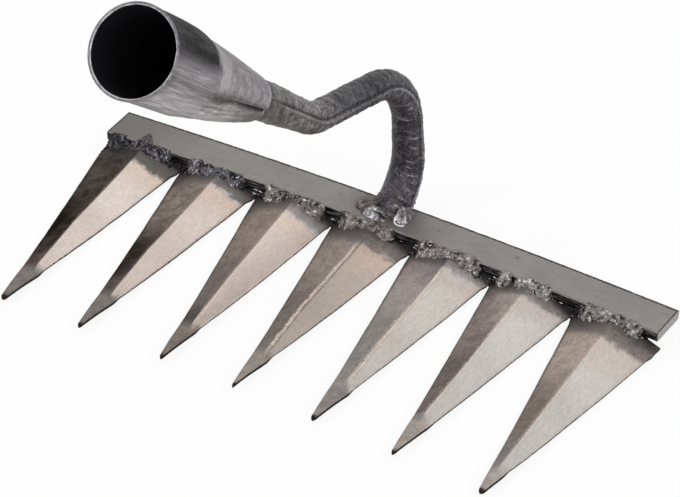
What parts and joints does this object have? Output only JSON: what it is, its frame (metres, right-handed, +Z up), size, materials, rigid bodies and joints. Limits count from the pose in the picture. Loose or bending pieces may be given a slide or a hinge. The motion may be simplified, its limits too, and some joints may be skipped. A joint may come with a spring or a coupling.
{
  "type": "garden rake head",
  "caption": "Welded steel rake head: flat bar with folded triangular tines, bent rod neck and a tube socket for a round wooden handle.",
  "frame": {"origin": "under the middle of the head's outline, on the ground that it rests on", "axes": "+X along the bar, the tines point to -Y and +Z is up"},
  "size_m": [0.28, 0.2326, 0.2215],
  "materials": {
    "handle_socket": "bare drawn tube, streaked along its length, dark mill scale on the upper side, hammered at the taper",
    "gooseneck": "rough black forge scale on reinforcing rod, dull with small glints",
    "tine_bar": "plain smooth grey flat bar, satin",
    "neck_weld": "bright lumpy weld metal",
    "tine": "fine brushed bright sheet steel with straw, purple and blue heat tint at the root",
    "tine_weld": "dark glossy lumpy weld metal with bright glints"
  },
  "bodies": {
    "root": {"handle_socket": "handle_socket", "gooseneck": "gooseneck", "tine_bar": "tine_bar", "neck_weld": "neck_weld", "tine_1": "tine", "tine_2": "tine", "tine_3": "tine", "tine_4": "tine", "tine_5": "tine", "tine_6": "tine", "tine_7": "tine", "tine_1_weld_left": "tine_weld", "tine_1_weld_right": "tine_weld", "tine_2_weld_left": "tine_weld", "tine_2_weld_right": "tine_weld", "tine_3_weld_left": "tine_weld", "tine_3_weld_right": "tine_weld", "tine_4_weld_left": "tine_weld", "tine_4_weld_right": "tine_weld", "tine_5_weld_left": "tine_weld", "tine_5_weld_right": "tine_weld", "tine_6_weld_left": "tine_weld", "tine_6_weld_right": "tine_weld", "tine_7_weld_left": "tine_weld", "tine_7_weld_right": "tine_weld"}
  },
  "joints": []
}
